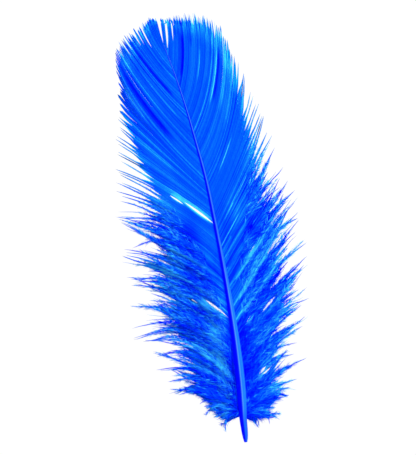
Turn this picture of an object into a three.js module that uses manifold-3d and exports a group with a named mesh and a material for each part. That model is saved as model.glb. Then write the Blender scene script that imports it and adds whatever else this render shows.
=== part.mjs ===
import * as THREE from 'three';
import { mergeVertices } from 'three/addons/utils/BufferGeometryUtils.js';
import Module from 'manifold-3d';

const wasm = await Module();
wasm.setup();

// A dyed goose feather that lies on its hollow side, in millimetres with +Z up. The quill's end
// is at y = 0, the tip is along +Y, and each vane is the row of barbs on one side of the shaft.

// The shaft, from the quill's end to its hair-thin tip: how far along, how far to the side, how
// wide, and how high its underside is above the surface.
const shaftRows = [
  { y: 0, x: 0.15, width: 0.9, rise: 0 },
  { y: 1, x: 0.2, width: 1.4, rise: 0 },
  { y: 3, x: 0.26, width: 1.9, rise: 0 },
  { y: 7, x: 0.36, width: 2.3, rise: 0 },
  { y: 12, x: 0.74, width: 2.8, rise: 0.25 },
  { y: 19, x: 1.14, width: 2.9, rise: 0.9 },
  { y: 31, x: 1.44, width: 2.5, rise: 2.3 },
  { y: 43, x: 1.33, width: 1.95, rise: 3.6 },
  { y: 55, x: 0.9, width: 1.5, rise: 4.6 },
  { y: 67, x: 0.3, width: 1.2, rise: 5.2 },
  { y: 80, x: -0.5, width: 1, rise: 5.3 },
  { y: 92, x: -1.95, width: 0.8, rise: 4.8 },
  { y: 104, x: -3.65, width: 0.6, rise: 3.7 },
  { y: 115, x: -5.75, width: 0.4, rise: 2.3 },
  { y: 124.5, x: -7.9, width: 0.24, rise: 1 },
];
const shaftDepth = 1.05; // its depth for each millimetre of width
const flatLift = 0.86; // how far the middle lies above the underside, for each half depth
const shaftSides = 12;
const shaftSteps = 30;

// The locks of barbs on each side, from the quill up: where a lock leaves the shaft, where its
// tip is, and how many degrees it rises from straight out where it leaves.
const leftLocks = [
  { root: 8.9, x: -6.2, y: 5.1, rise: 0 },
  { root: 9.3, x: -7.4, y: 9, rise: 4 },
  { root: 9.8, x: -11, y: 12.4, rise: 12 },
  { root: 10.5, x: -16, y: 18.4, rise: 26 },
  { root: 11.1, x: -19.5, y: 19.3, rise: 33 },
  { root: 11.8, x: -20.2, y: 21.7, rise: 46 },
  { root: 13, x: -23.3, y: 28, rise: 60 },
  { root: 14.6, x: -23, y: 32.6, rise: 66 },
  { root: 17, x: -24.8, y: 37.3, rise: 68 },
  { root: 20, x: -26, y: 39, rise: 66 },
  { root: 24.5, x: -26.7, y: 45.1, rise: 58 },
  { root: 28.5, x: -27.2, y: 47, rise: 52 },
  { root: 33, x: -27.4, y: 51.6, rise: 54 },
  { root: 37.5, x: -27, y: 56.6, rise: 50 },
  { root: 41, x: -28, y: 59.7, rise: 47 },
  { root: 44.5, x: -28.3, y: 64, rise: 49 },
  { root: 48.5, x: -28.5, y: 67.7, rise: 53 },
  { root: 52, x: -28.2, y: 71, rise: 55 },
  { root: 55.5, x: -28, y: 75.4, rise: 55 },
  { root: 60, x: -27, y: 81.6, rise: 52 },
  { root: 65.5, x: -26, y: 87.5, rise: 47 },
  { root: 69, x: -25, y: 91, rise: 46 },
  { root: 71.5, x: -24.7, y: 95.6, rise: 46 },
  { root: 74.5, x: -24, y: 101.6, rise: 49 },
  { root: 77.5, x: -22.8, y: 108.5, rise: 53 },
  { root: 79.5, x: -22.3, y: 117.8, rise: 51 },
  { root: 84.5, x: -21.9, y: 121.4, rise: 53 },
  { root: 94, x: -20.2, y: 124.2, rise: 53 },
  { root: 101.5, x: -18.4, y: 125.9, rise: 51 },
  { root: 108.5, x: -15.4, y: 127.7, rise: 51 },
  { root: 114, x: -12.8, y: 129.2, rise: 54 },
  { root: 119, x: -10.6, y: 130.6, rise: 62 },
  { root: 123, x: -8.4, y: 130.6, rise: 85 },
];
const rightLocks = [
  { root: 8.2, x: 4.6, y: 5.5, rise: -15 },
  { root: 8.6, x: 11.2, y: 5.9, rise: -5 },
  { root: 9, x: 10.4, y: 9, rise: 5 },
  { root: 9.5, x: 13, y: 12.5, rise: 12 },
  { root: 10.1, x: 14.6, y: 13.9, rise: 17 },
  { root: 10.9, x: 16.7, y: 17.2, rise: 27 },
  { root: 11.8, x: 16.6, y: 20.5, rise: 40 },
  { root: 12.7, x: 20.5, y: 22, rise: 40 },
  { root: 14, x: 17.8, y: 25.7, rise: 56 },
  { root: 15.6, x: 21.5, y: 31.2, rise: 60 },
  { root: 17.3, x: 23.7, y: 33.6, rise: 61 },
  { root: 20.5, x: 24, y: 38.4, rise: 60 },
  { root: 24, x: 24.7, y: 42.2, rise: 53 },
  { root: 28, x: 25.8, y: 48.5, rise: 49 },
  { root: 32, x: 25.4, y: 52.2, rise: 48 },
  { root: 35.5, x: 25.1, y: 57.6, rise: 49 },
  { root: 39, x: 24.9, y: 63.7, rise: 51 },
  { root: 42.3, x: 23.4, y: 67.3, rise: 52 },
  { root: 45.5, x: 25.1, y: 70, rise: 51 },
  { root: 48.5, x: 24.4, y: 72.8, rise: 51 },
  { root: 51.5, x: 24.1, y: 75.4, rise: 52 },
  { root: 55, x: 22.6, y: 81.2, rise: 54 },
  { root: 58.5, x: 21.6, y: 85.2, rise: 55 },
  { root: 62, x: 20.6, y: 89.7, rise: 55 },
  { root: 65.5, x: 19.3, y: 95, rise: 56 },
  { root: 69.5, x: 17.7, y: 99.4, rise: 56 },
  { root: 73, x: 16.2, y: 104.2, rise: 55 },
  { root: 76.5, x: 15, y: 109, rise: 55 },
  { root: 80.5, x: 13, y: 114, rise: 54 },
  { root: 84.5, x: 11.7, y: 119, rise: 54 },
  { root: 89, x: 10.3, y: 123.6, rise: 54 },
  { root: 93.5, x: 8.4, y: 126.2, rise: 56 },
  { root: 98, x: 5.8, y: 128.2, rise: 58 },
  { root: 102, x: 3, y: 129.4, rise: 61 },
  { root: 106, x: 0.2, y: 129.9, rise: 66 },
  { root: 111, x: -2.4, y: 130.1, rise: 72 },
  { root: 116.5, x: -4.6, y: 129.9, rise: 78 },
  { root: 122, x: -7, y: 130.3, rise: 86 },
];

// How the vanes are built around those locks.
const shaftGap = 0.3; // clear space between the shaft and the vanes
const bend = 0.5; // how far along its length a barb keeps its first direction
const droop = 1.7; // how late along a barb the vane bends down to the surface
const tipHeight = 0.12; // the lowest tips' middles above the surface
const lockLifts = [0, 1.5, 0.7]; // every third lock lies on the surface and the others above it
const lowerWeb = { root: 56, share: 0.6 }; // the part of a barb that is in the solid web
const upperWeb = { root: 84, share: 0.93 };
const webThickness = { lower: 1.1, upper: 0.7 };
const lockThickness = { lower: 1.9, upper: 0.9 };
const lockFill = 1.5; // a lock's greatest width, for each millimetre to the next lock
const widestLock = 5; // but never wider than this
const lockRoot = { lower: 0.3, upper: 0.16 }; // the share of a lock's barbs that is inside the web
const lockStart = 0.15; // how far along its leaf shape a lock starts
const lockTip = 0.11; // half the width of a lock's end
const lockSides = 5;
const lockSteps = 4;
const webSteps = 4;

const shaftFinish = { color: 0x1240f0, roughness: 0.38, metalness: 0 };
const vaneFinish = { color: 0x0350f5, roughness: 0.85, metalness: 0 };

const mix = (a, b, t) => a + (b - a) * t;
const smooth = (a, b, t) => THREE.MathUtils.smoothstep(t, a, b);

// One value of a list of rows at any place: a smooth curve through the rows' own values.
function along(rows, place, key, at) {
  let i = rows.findIndex((row) => row[place] > at) - 1;
  if (i < 0) i = at <= rows[0][place] ? 0 : rows.length - 2;
  const before = rows[Math.max(i - 1, 0)];
  const from = rows[i];
  const to = rows[i + 1];
  const after = rows[Math.min(i + 2, rows.length - 1)];
  const step = to[place] - from[place];
  const t = THREE.MathUtils.clamp((at - from[place]) / step, 0, 1);
  const slopeFrom = ((to[key] - before[key]) / (to[place] - before[place])) * step;
  const slopeTo = ((after[key] - from[key]) / (after[place] - from[place])) * step;
  const t2 = t * t;
  const t3 = t2 * t;
  return (2 * t3 - 3 * t2 + 1) * from[key] + (t3 - 2 * t2 + t) * slopeFrom
    + (3 * t2 - 2 * t3) * to[key] + (t3 - t2) * slopeTo;
}

function shaftAt(y) {
  const half = along(shaftRows, 'y', 'width', y) / 2;
  const halfDepth = half * shaftDepth;
  const z = along(shaftRows, 'y', 'rise', y) + halfDepth * flatLift;
  return { x: along(shaftRows, 'y', 'x', y), z, half, halfDepth };
}

// A point on the barb that leaves the shaft at root, at the share u of its length: a curve that
// starts at its own angle, bends towards its tip, and comes down to the surface as it goes out.
function barbPoint(vane, root, u) {
  const shaft = shaftAt(root);
  const startX = shaft.x + vane.side * (shaft.half + shaftGap);
  const tipX = along(vane.locks, 'root', 'x', root);
  const tipY = along(vane.locks, 'root', 'y', root);
  const rise = THREE.MathUtils.degToRad(along(vane.locks, 'root', 'rise', root));
  const reach = bend * Math.hypot(tipX - startX, tipY - root);
  const bendX = startX + vane.side * reach * Math.cos(rise);
  const bendY = root + reach * Math.sin(rise);
  const x = (1 - u) ** 2 * startX + 2 * u * (1 - u) * bendX + u * u * tipX;
  const y = (1 - u) ** 2 * root + 2 * u * (1 - u) * bendY + u * u * tipY;
  return new THREE.Vector3(x, y, mix(shaft.z, tipHeight, u ** droop));
}

const webShare = (root) => mix(lowerWeb.share, upperWeb.share, smooth(lowerWeb.root, upperWeb.root, root));
const fromLower = (sizes, root) => mix(sizes.lower, sizes.upper, smooth(lowerWeb.root, upperWeb.root, root));

// Moves every vertex of a geometry to where place(vertex) puts it, and makes it one solid.
function solidFrom(geometry, place) {
  geometry.deleteAttribute('normal');
  geometry.deleteAttribute('uv');
  const merged = mergeVertices(geometry, 1e-4);
  const positions = merged.getAttribute('position');
  const vertex = new THREE.Vector3();
  for (let i = 0; i < positions.count; i += 1) {
    const moved = place(vertex.fromBufferAttribute(positions, i));
    positions.setXYZ(i, moved.x, moved.y, moved.z);
  }
  const triangles = Uint32Array.from(merged.index.array);
  if (signedVolume(positions, triangles) < 0) triangles.reverse();
  const shape = { numProp: 3, vertProperties: Float32Array.from(positions.array), triVerts: triangles };
  return new wasm.Manifold(new wasm.Mesh(shape));
}

function signedVolume(positions, triangles) {
  const [a, b, c] = [new THREE.Vector3(), new THREE.Vector3(), new THREE.Vector3()];
  let total = 0;
  for (let i = 0; i < triangles.length; i += 3) {
    a.fromBufferAttribute(positions, triangles[i]);
    b.fromBufferAttribute(positions, triangles[i + 1]);
    c.fromBufferAttribute(positions, triangles[i + 2]);
    total += a.dot(b.cross(c)) / 6;
  }
  return total;
}

// The shaft: a rod of twelve sides carried along its curve, flat where it lies on the surface.
function makeShaft() {
  const length = shaftRows.at(-1).y;
  const rod = new THREE.CylinderGeometry(1, 1, 1, shaftSides, shaftSteps);
  return solidFrom(rod, (v) => {
    const shaft = shaftAt((v.y + 0.5) * length);
    const underside = Math.max(shaft.z - shaft.halfDepth * flatLift, 0);
    const z = Math.max(shaft.z + v.x * shaft.halfDepth, underside);
    return new THREE.Vector3(shaft.x + v.z * shaft.half, (v.y + 0.5) * length, z);
  });
}

// The web: a thin bowed plate of all the barbs of one side, out to where they come apart.
function makeWeb(vane) {
  const spans = vane.locks.length - 1;
  const plate = new THREE.BoxGeometry(1, 1, 1, spans, webSteps, 1);
  return solidFrom(plate, (v) => {
    const { root } = vane.locks[Math.round((v.x + 0.5) * spans)];
    const u = (v.y + 0.5) * webShare(root);
    const point = barbPoint(vane, root, u);
    point.z = Math.max(point.z + v.z * fromLower(webThickness, root), 0);
    return point;
  });
}

// One lock: a flat leaf along its barbs, from inside the web to its pointed end.
function makeLock(vane, index) {
  const { root } = vane.locks[index];
  const below = vane.locks[Math.max(index - 1, 0)].root;
  const above = vane.locks[Math.min(index + 1, vane.locks.length - 1)].root;
  const share = webShare(root);
  const foot = share - fromLower(lockRoot, root);
  const spread = barbPoint(vane, above, share).distanceTo(barbPoint(vane, below, share));
  const halfWidth = Math.min((spread * lockFill) / 4, widestLock / 2);
  const halfDepth = fromLower(lockThickness, root) / 2;
  const lift = lockLifts[index % lockLifts.length];
  const spindle = new THREE.CylinderGeometry(1, 1, 1, lockSides, lockSteps);
  return solidFrom(spindle, (v) => {
    const t = v.y + 0.5;
    const u = mix(foot, 1, t);
    const middle = barbPoint(vane, root, u);
    const next = barbPoint(vane, root, u + 0.01);
    const heading = Math.atan2(next.y - middle.y, next.x - middle.x);
    const leaf = Math.sin(Math.PI * mix(lockStart, 1, t));
    const across = v.x * mix(lockTip, halfWidth, leaf);
    const up = v.z * mix(lockTip, halfDepth, leaf) + lift * t * t;
    middle.x -= across * Math.sin(heading);
    middle.y += across * Math.cos(heading);
    middle.z = Math.max(middle.z + up, 0);
    return middle;
  });
}

function makeVane(vane) {
  let solid = makeWeb(vane);
  for (let i = 0; i < vane.locks.length; i += 1) solid = solid.add(makeLock(vane, i));
  return solid;
}

function meshOf(name, solid, finish) {
  const { vertProperties, triVerts } = solid.getMesh();
  const geometry = new THREE.BufferGeometry();
  geometry.setAttribute('position', new THREE.BufferAttribute(Float32Array.from(vertProperties), 3));
  geometry.setIndex(new THREE.BufferAttribute(Uint32Array.from(triVerts), 1));
  geometry.computeVertexNormals();
  const mesh = new THREE.Mesh(geometry, new THREE.MeshStandardMaterial(finish));
  mesh.name = name;
  return mesh;
}

const feather = new THREE.Group();
feather.add(meshOf('quill_shaft', makeShaft(), shaftFinish));
feather.add(meshOf('left_vane', makeVane({ side: -1, locks: leftLocks }), vaneFinish));
feather.add(meshOf('right_vane', makeVane({ side: 1, locks: rightLocks }), vaneFinish));

// The part's origin is on the surface, under the middle of the feather's outline.
const extent = new THREE.Box3().setFromObject(feather);
const middle = extent.getCenter(new THREE.Vector3());
feather.position.set(-middle.x, -middle.y, -extent.min.z);

export default feather;
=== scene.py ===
import math

import bpy
import numpy as np
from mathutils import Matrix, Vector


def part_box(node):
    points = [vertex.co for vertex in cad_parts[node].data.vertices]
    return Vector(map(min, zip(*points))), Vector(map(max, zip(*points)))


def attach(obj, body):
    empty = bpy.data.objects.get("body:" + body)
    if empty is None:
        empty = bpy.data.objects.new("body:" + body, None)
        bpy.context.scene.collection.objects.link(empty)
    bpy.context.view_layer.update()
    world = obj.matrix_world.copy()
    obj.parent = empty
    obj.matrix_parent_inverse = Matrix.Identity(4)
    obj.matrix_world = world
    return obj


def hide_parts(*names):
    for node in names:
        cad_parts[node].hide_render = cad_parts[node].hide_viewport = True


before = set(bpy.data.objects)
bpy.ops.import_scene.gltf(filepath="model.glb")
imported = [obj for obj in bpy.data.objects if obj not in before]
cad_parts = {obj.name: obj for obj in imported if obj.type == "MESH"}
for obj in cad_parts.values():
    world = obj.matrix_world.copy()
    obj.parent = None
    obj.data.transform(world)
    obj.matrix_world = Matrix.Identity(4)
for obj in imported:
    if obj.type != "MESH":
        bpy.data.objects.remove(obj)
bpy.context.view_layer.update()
print("frame loaded:", ", ".join(sorted(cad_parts)))

# The feather is worked out in millimetres, with the quill's end at y = 0 and the tip along +Y,
# and every point is moved into the frame as its mesh is made.
millimetre = 0.001

# how far along, how far to the side, how wide, how high the underside is
shaftRows = np.array([
    (0, 0.15, 0.9, 0), (1, 0.2, 1.4, 0), (3, 0.26, 1.9, 0), (7, 0.36, 2.3, 0),
    (12, 0.74, 2.8, 0.25), (19, 1.14, 2.9, 0.9), (31, 1.44, 2.5, 2.3), (43, 1.33, 1.95, 3.6),
    (55, 0.9, 1.5, 4.6), (67, 0.3, 1.2, 5.2), (80, -0.5, 1, 5.3), (92, -1.95, 0.8, 4.8),
    (104, -3.65, 0.6, 3.7), (115, -5.75, 0.4, 2.3), (124.5, -7.9, 0.24, 1),
])
shaftShape = {"depth": 1.05, "flatLift": 0.86, "sides": 40, "steps": 220,
              "crowding": 1.1}  # its steps lie closer together at the quill

# where a lock leaves the shaft, its tip's x and y, and how steeply it leaves, in degrees
leftLocks = np.array([
    (8.9, -6.2, 5.1, 0), (9.3, -7.4, 9, 4), (9.8, -11, 12.4, 12), (10.5, -16, 18.4, 26),
    (11.1, -19.5, 19.3, 33), (11.8, -20.2, 21.7, 46), (13, -23.3, 28, 60), (14.6, -23, 32.6, 66),
    (17, -24.8, 37.3, 68), (20, -26, 39, 66), (24.5, -26.7, 45.1, 58), (28.5, -27.2, 47, 52),
    (33, -27.4, 51.6, 54), (37.5, -27, 56.6, 50), (41, -28, 59.7, 47), (44.5, -28.3, 64, 49),
    (48.5, -28.5, 67.7, 53), (52, -28.2, 71, 55), (55.5, -28, 75.4, 55), (60, -27, 81.6, 52),
    (65.5, -26, 87.5, 47), (69, -25, 91, 46), (71.5, -24.7, 95.6, 46), (74.5, -24, 101.6, 49),
    (77.5, -22.8, 108.5, 53), (79.5, -22.3, 117.8, 51), (84.5, -21.9, 121.4, 53),
    (94, -20.2, 124.2, 53), (101.5, -18.4, 125.9, 51), (108.5, -15.4, 127.7, 51),
    (114, -12.8, 129.2, 54), (119, -10.6, 130.6, 62), (123, -8.4, 130.6, 85),
])
rightLocks = np.array([
    (8.2, 4.6, 5.5, -15), (8.6, 11.2, 5.9, -5), (9, 10.4, 9, 5), (9.5, 13, 12.5, 12),
    (10.1, 14.6, 13.9, 17), (10.9, 16.7, 17.2, 27), (11.8, 16.6, 20.5, 40), (12.7, 20.5, 22, 40),
    (14, 17.8, 25.7, 56), (15.6, 21.5, 31.2, 60), (17.3, 23.7, 33.6, 61), (20.5, 24, 38.4, 60),
    (24, 24.7, 42.2, 53), (28, 25.8, 48.5, 49), (32, 25.4, 52.2, 48), (35.5, 25.1, 57.6, 49),
    (39, 24.9, 63.7, 51), (42.3, 23.4, 67.3, 52), (45.5, 25.1, 70, 51), (48.5, 24.4, 72.8, 51),
    (51.5, 24.1, 75.4, 52), (55, 22.6, 81.2, 54), (58.5, 21.6, 85.2, 55), (62, 20.6, 89.7, 55),
    (65.5, 19.3, 95, 56), (69.5, 17.7, 99.4, 56), (73, 16.2, 104.2, 55), (76.5, 15, 109, 55),
    (80.5, 13, 114, 54), (84.5, 11.7, 119, 54), (89, 10.3, 123.6, 54), (93.5, 8.4, 126.2, 56),
    (98, 5.8, 128.2, 58), (102, 3, 129.4, 61), (106, 0.2, 129.9, 66), (111, -2.4, 130.1, 72),
    (116.5, -4.6, 129.9, 78), (122, -7, 130.3, 86),
])
lockLifts = np.array([0, 1.5, 0.7])  # every third lock lies on the surface, the others above it

barbCurve = {
    "foot": (0.3, 0.15),  # its start in the shaft, in shares of half the width and the depth
    "bend": 0.5,        # how far along its length a barb keeps its first direction
    "edgeBend": ((69, 79, 86, 94), (0.5, 0.68, 0.65, 0.5)),  # longer along the web's left edge
    "droop": 1.7,       # how late along a barb the vane bends down
    "tipHeight": 0.12,
    "liftPower": 1.6,   # how late a tuft's own height comes in
    "curlFrom": 0.62,
    "flick": (0.66, 0.34, 1.6),  # from which share of its length, over how much, how late
}


def smoothStep(low, high, x):
    # 3t^2 - 2t^3 of where x lies between low and high
    t = np.clip((x - low) / (high - low), 0, 1)
    return t * t * (3 - 2 * t)


def alongRows(rows, column, at):
    # a cubic through the rows' values, each slope that of the line between its neighbours
    places, values = rows[:, 0], rows[:, column]
    at = np.clip(at, places[0], places[-1])
    i = np.clip(np.searchsorted(places, at, side="right") - 1, 0, len(places) - 2)
    before, after = np.maximum(i - 1, 0), np.minimum(i + 2, len(places) - 1)
    step = places[i + 1] - places[i]
    t = (at - places[i]) / step
    slopeFrom = (values[i + 1] - values[before]) / (places[i + 1] - places[before]) * step
    slopeTo = (values[after] - values[i]) / (places[after] - places[i]) * step
    return ((2 * t**3 - 3 * t**2 + 1) * values[i] + (t**3 - 2 * t**2 + t) * slopeFrom
            + (3 * t**2 - 2 * t**3) * values[i + 1] + (t**3 - t**2) * slopeTo)


def shaftAt(y):
    # the rod's middle and half sizes: half its width, depth as a share of it, and the middle
    # as far above the underside as the flattened part of the depth
    half = alongRows(shaftRows, 2, y) / 2
    depth = half * shaftShape["depth"]
    middle = alongRows(shaftRows, 3, y) + depth * shaftShape["flatLift"]
    return alongRows(shaftRows, 1, y), middle, half, depth


# the frame's own shaft says where the feather's zero point is
shaftLow = np.array(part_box("quill_shaft")[0])
shaftEnd = shaftRows[-1]
shift = np.array([
    shaftLow[0] / millimetre - (shaftEnd[1] - shaftEnd[2] / 2),
    shaftLow[1] / millimetre,
    0,
])


def barbPoints(side, locks, root, u):
    # (1-u)^2 start + 2u(1-u) bend point + u^2 tip in plan; height goes from the shaft to the
    # surface as u^droop
    x0, z0, half, depth = shaftAt(root)
    footX, footZ = barbCurve["foot"]
    startX = x0 + side * half * footX
    startZ = z0 + footZ * depth
    tipX, tipY = alongRows(locks, 1, root), alongRows(locks, 2, root)
    rise = np.radians(alongRows(locks, 3, root))
    bend = barbCurve["bend"] if side > 0 else np.interp(root, *barbCurve["edgeBend"])
    reach = bend * np.hypot(tipX - startX, tipY - root)
    bendX = startX + side * reach * np.cos(rise)
    bendY = root + reach * np.sin(rise)
    x = (1 - u) ** 2 * startX + 2 * u * (1 - u) * bendX + u * u * tipX
    y = (1 - u) ** 2 * root + 2 * u * (1 - u) * bendY + u * u * tipY
    z = startZ + (barbCurve["tipHeight"] - startZ) * u ** barbCurve["droop"]
    return np.stack([x, y, z], axis=-1)


def unit(vectors):
    # each vector divided by its length
    return vectors / np.maximum(np.linalg.norm(vectors, axis=-1, keepdims=True), 1e-9)


def frameOf(path):
    # the direction along each strand, the level direction across it, and the one out of it
    ahead = unit(np.gradient(path, axis=1))
    across = unit(np.cross(ahead, np.array([0.0, 0.0, 1.0])))
    return ahead, across, np.cross(across, ahead)


def strandMesh(path, half, top, under, values, crest=0):
    # each strand is a prism of three corners carried along its path, closed at its foot and
    # drawn to a point at its last point; crest is added to the tint of its upper corner
    count, steps = path.shape[:2]
    across, out = frameOf(path)[1:]
    rings = steps - 1
    p, a, o = path[:, :-1], across[:, :-1], out[:, :-1]
    h, t, b = half[:, :-1, None], top[:, :-1, None], under[:, :-1, None]
    corners = np.stack([p - a * h - o * b, p + o * t, p + a * h - o * b], axis=2)
    points = np.concatenate([corners.reshape(count, rings * 3, 3), path[:, -1:]], axis=1)
    perStrand = rings * 3 + 1
    first = np.arange(count)[:, None] * perStrand
    ring = np.arange(rings - 1)[:, None] * 3
    quads = []
    for k in range(3):
        n = (k + 1) % 3
        quads.append(np.concatenate([ring + k, ring + 3 + k, ring + 3 + n, ring + n], axis=1))
    quads = np.concatenate(quads)
    last = (rings - 1) * 3
    tris = np.array([[last, last + 3, last + 1], [last + 1, last + 3, last + 2],
                     [last + 2, last + 3, last], [0, 1, 2]])
    quadFaces = (first[:, :, None] + quads[None]).reshape(-1, 4)
    triFaces = (first[:, :, None] + tris[None]).reshape(-1, 3)
    spread = {}
    for name, value in values.items():
        ringed = np.repeat(value[:, :-1], 3, axis=1)
        spread[name] = np.concatenate([ringed, value[:, -1:]], axis=1).ravel()
    lift = np.zeros((count, rings, 3))
    lift[..., 1] = np.broadcast_to(crest, (count, steps))[:, :-1]
    spread["tint"][:] += np.concatenate(
        [lift.reshape(count, rings * 3), np.zeros((count, 1))], axis=1).ravel()
    side = np.concatenate([np.tile([-1.0, 0.0, 1.0], rings), [0.0]])
    widths = np.concatenate([np.repeat(half[:, :-1], 3, axis=1), half[:, -1:]], axis=1)
    spread["across"] = (side[None] * widths).ravel()
    return points.reshape(-1, 3), quadFaces, triFaces, spread


def joinMeshes(parts):
    # one mesh of several: each part's faces count on from the points before it
    points, quads, tris, values, start = [], [], [], {}, 0
    for p, q, t, v in parts:
        points.append(p)
        quads.append(q + start)
        tris.append(t + start)
        start += len(p)
        for name, value in v.items():
            values.setdefault(name, []).append(value)
    return (np.concatenate(points), np.concatenate(quads), np.concatenate(tris),
            {name: np.concatenate(v) for name, v in values.items()})


def outward(points, quads, tris):
    # the sum of a . (b x c) over the faces is above zero where they point outwards
    halves = np.concatenate([quads[:, :3], quads[:, [0, 2, 3]], tris])
    a, b, c = points[halves[:, 0]], points[halves[:, 1]], points[halves[:, 2]]
    if np.einsum("ij,ij->", a - points.mean(0), np.cross(b, c) - np.cross(a, c)
                 - np.cross(b, a)) < 0:
        return quads[:, ::-1], tris[:, ::-1]
    return quads, tris


def makePiece(name, built, material, node):
    # a mesh in the frame: (feather point + shift) * millimetre, with the tint and the share of
    # the other colour at each point, and millimetres along and across each barb as its UV map
    points, quads, tris, values = built
    quads, tris = outward(points, quads, tris)
    mesh = bpy.data.meshes.new(name)
    mesh.vertices.add(len(points))
    mesh.vertices.foreach_set("co", ((points + shift) * millimetre).astype(np.float32).ravel())
    corners = np.concatenate([quads.ravel(), tris.ravel()]).astype(np.int32)
    sizes = np.concatenate([np.full(len(quads), 4), np.full(len(tris), 3)])
    starts = np.concatenate([[0], np.cumsum(sizes)[:-1]]).astype(np.int32)
    mesh.loops.add(len(corners))
    mesh.loops.foreach_set("vertex_index", corners)
    mesh.polygons.add(len(sizes))
    mesh.polygons.foreach_set("loop_start", starts)
    mesh.update(calc_edges=True)
    for key in ("tint", "other"):
        layer = mesh.attributes.new(key, "FLOAT", "POINT")
        layer.data.foreach_set("value", values[key].astype(np.float32))
    uv = mesh.uv_layers.new(name="barbMap")
    pairs = np.stack([values["along"], values["across"]], axis=1)[corners]
    uv.data.foreach_set("uv", pairs.astype(np.float32).ravel())
    mesh.shade_smooth()
    mesh.materials.append(material)
    piece = bpy.data.objects.new(name, mesh)
    bpy.context.scene.collection.objects.link(piece)
    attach(piece, "root")
    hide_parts(node)
    print(f"{name}: {len(quads) * 2 + len(tris)} triangles")


# Materials

def addNode(tree, kind, **inputs):
    # a node with some of its inputs given a value or linked from another node's output
    node = tree.nodes.new(kind)
    for place, value in inputs.items():
        goal = node.inputs[int(place[1:])] if place[1:].isdigit() else node.inputs[place]
        if isinstance(value, bpy.types.NodeSocket):
            tree.links.new(value, goal)
        else:
            goal.default_value = value
    return node


def calculate(tree, operation, *terms):
    # a math node; multiply_add is first * second + third
    inputs = {f"i{k}": term for k, term in enumerate(terms)}
    node = addNode(tree, "ShaderNodeMath", **inputs)
    node.operation = operation
    return node.outputs[0]


def buildDyeGroup():
    # the colour comes from the tint at each point, which holds the dye's depth and also painted shade
    # and painted highlights, then soft mottling and fine slanting lines that run from each barb's
    # middle like its barbules; the same lines give roughness and height
    group = bpy.data.node_groups.new("dyedFibreWithPaintedShading", "ShaderNodeTree")
    face = group.interface
    for name, value in (("Tint", 0.5), ("Other", 0.0), ("Mottle", 0.1), ("Mottle Scale", 900.0),
                        ("Slant", 1.2), ("Along", 3.0), ("Across", 5.0), ("Lines", 0.2),
                        ("Rough", 0.7), ("Spread", 0.3)):
        entrance = face.new_socket(name=name, in_out="INPUT", socket_type="NodeSocketFloat")
        entrance.default_value = value
    face.new_socket(name="Other Color", in_out="INPUT", socket_type="NodeSocketColor")
    face.new_socket(name="Color", in_out="OUTPUT", socket_type="NodeSocketColor")
    for name in ("Roughness", "Height"):
        face.new_socket(name=name, in_out="OUTPUT", socket_type="NodeSocketFloat")
    entry = group.nodes.new("NodeGroupInput").outputs
    leave = group.nodes.new("NodeGroupOutput").inputs
    coords = group.nodes.new("ShaderNodeTexCoord")
    mottling = addNode(group, "ShaderNodeTexNoise", Vector=coords.outputs["Object"],
                       Scale=entry["Mottle Scale"], Detail=dyeLook["mottleDetail"])
    barbMap = group.nodes.new("ShaderNodeUVMap")
    barbMap.uv_map = "barbMap"
    place = addNode(group, "ShaderNodeSeparateXYZ", Vector=barbMap.outputs["UV"]).outputs
    side = calculate(group, "ABSOLUTE", place["Y"])
    back = calculate(group, "MULTIPLY", side, entry["Slant"])
    slanted = calculate(group, "SUBTRACT", place["X"], back)
    stretched = addNode(group, "ShaderNodeCombineXYZ",
                        X=calculate(group, "MULTIPLY", slanted, entry["Along"]),
                        Y=calculate(group, "MULTIPLY", place["Y"], entry["Across"]),
                        Z=calculate(group, "MULTIPLY", mottling.outputs["Fac"], dyeLook["drift"]))
    lines = addNode(group, "ShaderNodeTexNoise", Vector=stretched.outputs["Vector"], Scale=1.0,
                    Detail=dyeLook["lineDetail"]).outputs["Fac"]
    centred = calculate(group, "SUBTRACT", lines, 0.5)
    soft = calculate(group, "SUBTRACT", mottling.outputs["Fac"], 0.5)
    tone = calculate(group, "MULTIPLY_ADD", soft, entry["Mottle"], entry["Tint"])
    tone = calculate(group, "MULTIPLY_ADD", centred, entry["Lines"], tone)
    ramp = addNode(group, "ShaderNodeValToRGB", Fac=tone)
    stops = dyeLook["stops"]
    ends = ramp.color_ramp.elements
    ends[0].position, ends[0].color = stops[0][0], (*stops[0][1], 1)
    ends[1].position, ends[1].color = stops[-1][0], (*stops[-1][1], 1)
    for at, colour in stops[1:-1]:
        ends.new(at).color = (*colour, 1)
    mixed = group.nodes.new("ShaderNodeMix")
    mixed.data_type = "RGBA"
    group.links.new(entry["Other"], mixed.inputs["Factor"])
    group.links.new(ramp.outputs["Color"], mixed.inputs[6])
    group.links.new(entry["Other Color"], mixed.inputs[7])
    group.links.new(mixed.outputs[2], leave["Color"])
    group.links.new(calculate(group, "MULTIPLY_ADD", centred, entry["Spread"], entry["Rough"]),
                    leave["Roughness"])
    group.links.new(lines, leave["Height"])
    return group


# how fine the mottling and the lines are, how the lines change with the mottling, and the colours
# from deep to pale, by tint, for the dye and for the painted shade and highlights that the tint carries
dyeLook = {"mottleDetail": 3.0, "lineDetail": 2.0, "drift": 6.0, "stops": [
    (0.0, (0.0, 0.0008, 0.87)),
    (0.25, (0.0, 0.014, 0.9)),
    (0.5, (0.0, 0.05, 0.92)),
    (0.7, (0.002, 0.1, 0.93)),
    (0.8, (0.004, 0.17, 0.94)),
    (0.9, (0.012, 0.27, 0.95)),
    (1.0, (0.03, 0.4, 0.95)),
]}


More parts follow.
